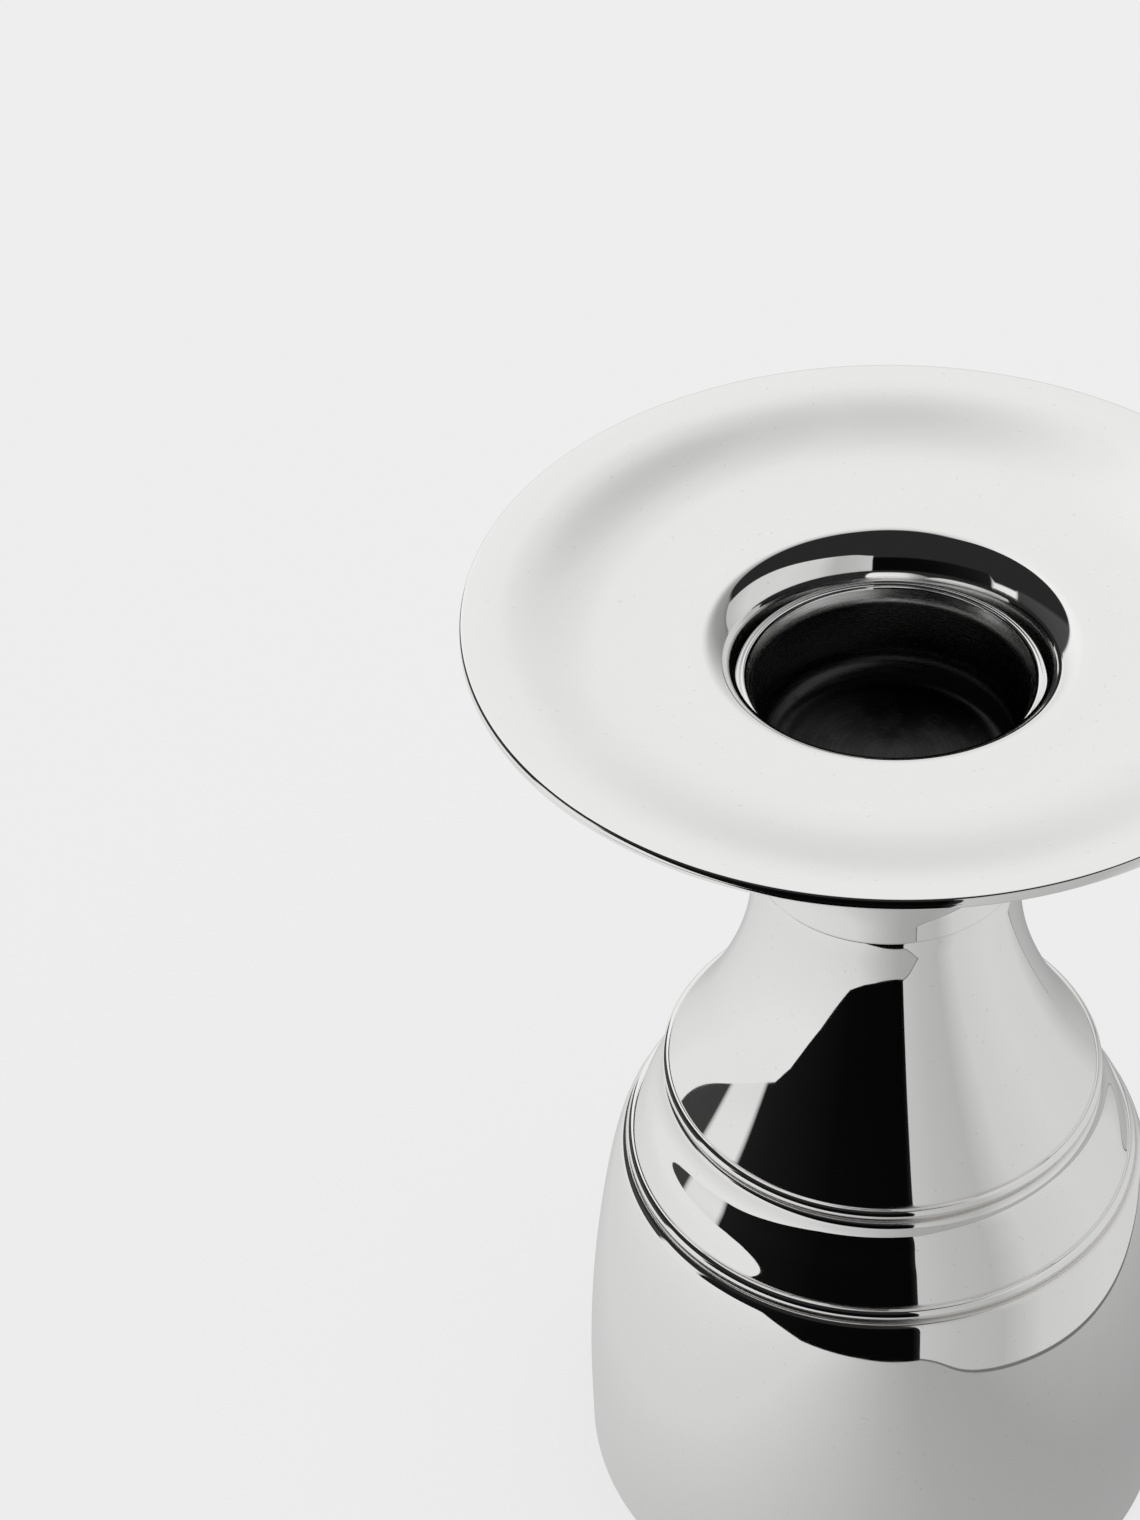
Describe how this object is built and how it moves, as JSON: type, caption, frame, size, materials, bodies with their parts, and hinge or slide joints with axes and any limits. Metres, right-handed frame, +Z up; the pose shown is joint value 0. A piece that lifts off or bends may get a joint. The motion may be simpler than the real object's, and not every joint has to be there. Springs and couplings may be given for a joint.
{
  "type": "candlestick",
  "caption": "Low polished silver table candlestick: wide dished drip pan with a sunk well and lift-out candle cup, waisted trumpet neck, stepped shoulder and weighted bell base.",
  "frame": {"origin": "on the axis, at the middle of the felt's underside, where the candlestick stands on the table", "axes": "+Z up along the axis of turning, towards the drip pan; X and Y are free, because the object is round"},
  "size_m": [0.07, 0.07, 0.0985],
  "materials": {
    "silver": "mirror-polished silver",
    "turned_silver": "silver with a polished lip, turned bright inside",
    "brass": "machined",
    "plate_steel": "zinc-plated steel",
    "iron": "as cast",
    "felt": "wool felt"
  },
  "bodies": {
    "stick": {"drip_pan": "silver", "pan_rim_wire": "silver", "cup_seat": "silver", "neck_calyx": "silver", "neck_trumpet": "silver", "waist_sleeve": "brass", "rod_anchor": "brass", "neck_bead": "silver", "shoulder": "silver", "step_bead": "silver", "bell": "silver", "foot_wire": "silver", "base_plate": "plate_steel", "base_felt": "felt", "iron_weight": "iron", "tie_rod": "plate_steel", "rod_washer": "plate_steel", "rod_nut": "plate_steel"},
    "candle_insert": {"candle_cup": "turned_silver", "cup_spigot": "silver"}
  },
  "joints": [
    {"name": "cup_lift", "type": "slide", "parent": "stick", "child": "candle_insert", "axis": [0, 0, 1], "range_m": [0, 0.025]}
  ]
}
